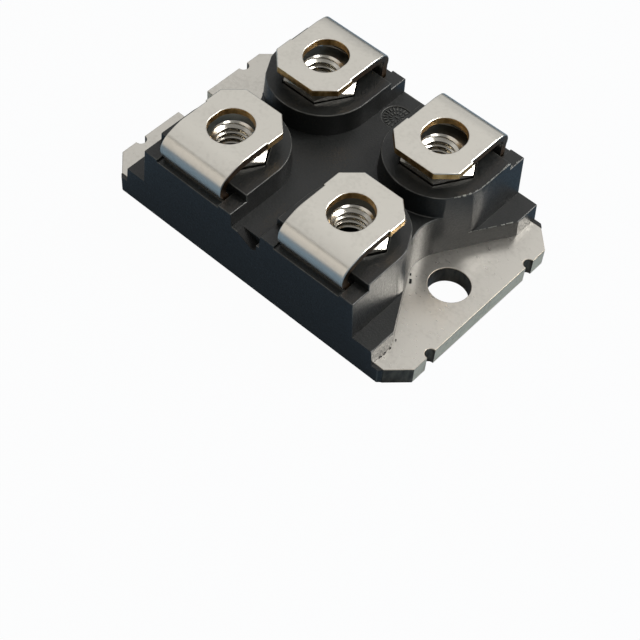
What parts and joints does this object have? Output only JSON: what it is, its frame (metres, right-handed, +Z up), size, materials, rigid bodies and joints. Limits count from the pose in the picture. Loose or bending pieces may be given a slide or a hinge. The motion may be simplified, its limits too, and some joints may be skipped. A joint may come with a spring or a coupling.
{
  "type": "igbt module",
  "caption": "Isolated-base power module: black moulding on a nickel-plated base plate, folded screw terminals over captive hexagon nuts, fixing hole and open slot at the ends.",
  "frame": {"origin": "centre of the base plate's cooling face, which rests on the heat sink", "axes": "+X along the length towards the round fixing hole, +Y across the width, +Z up from the cooling face"},
  "size_m": [0.0382, 0.0252, 0.012],
  "materials": {
    "base_nickel": "satin nickel plate on copper, cut edges darker",
    "moulding": "fine matt moulded surface, black",
    "terminal_nickel": "semi-bright nickel plate on copper",
    "nut_plating": "bright nickel plate on steel",
    "copper": "bare copper, satin",
    "ceramic": "white alumina",
    "solder": "dull solder",
    "silicon": "polished silicon with a metal top",
    "bond_aluminium": "bright drawn aluminium"
  },
  "bodies": {
    "root": {"base_plate": "base_nickel", "housing": "moulding", "gate_terminal": "terminal_nickel", "kelvin_terminal": "terminal_nickel", "collector_terminal": "terminal_nickel", "emitter_terminal": "terminal_nickel", "gate_nut": "nut_plating", "kelvin_nut": "nut_plating", "collector_nut": "nut_plating", "emitter_nut": "nut_plating", "substrate_solder": "solder", "substrate_back_copper": "copper", "substrate_ceramic": "ceramic", "collector_track": "copper", "emitter_track": "copper", "gate_track": "copper", "kelvin_track": "copper", "igbt_solder": "solder", "igbt_die": "silicon", "diode_solder": "solder", "diode_die": "silicon", "emitter_ribbons": "bond_aluminium", "diode_ribbons": "bond_aluminium", "gate_bond": "bond_aluminium", "kelvin_bond": "bond_aluminium", "gate_foot_solder": "solder", "kelvin_foot_solder": "solder", "collector_foot_solder": "solder", "emitter_foot_solder": "solder"}
  },
  "joints": []
}
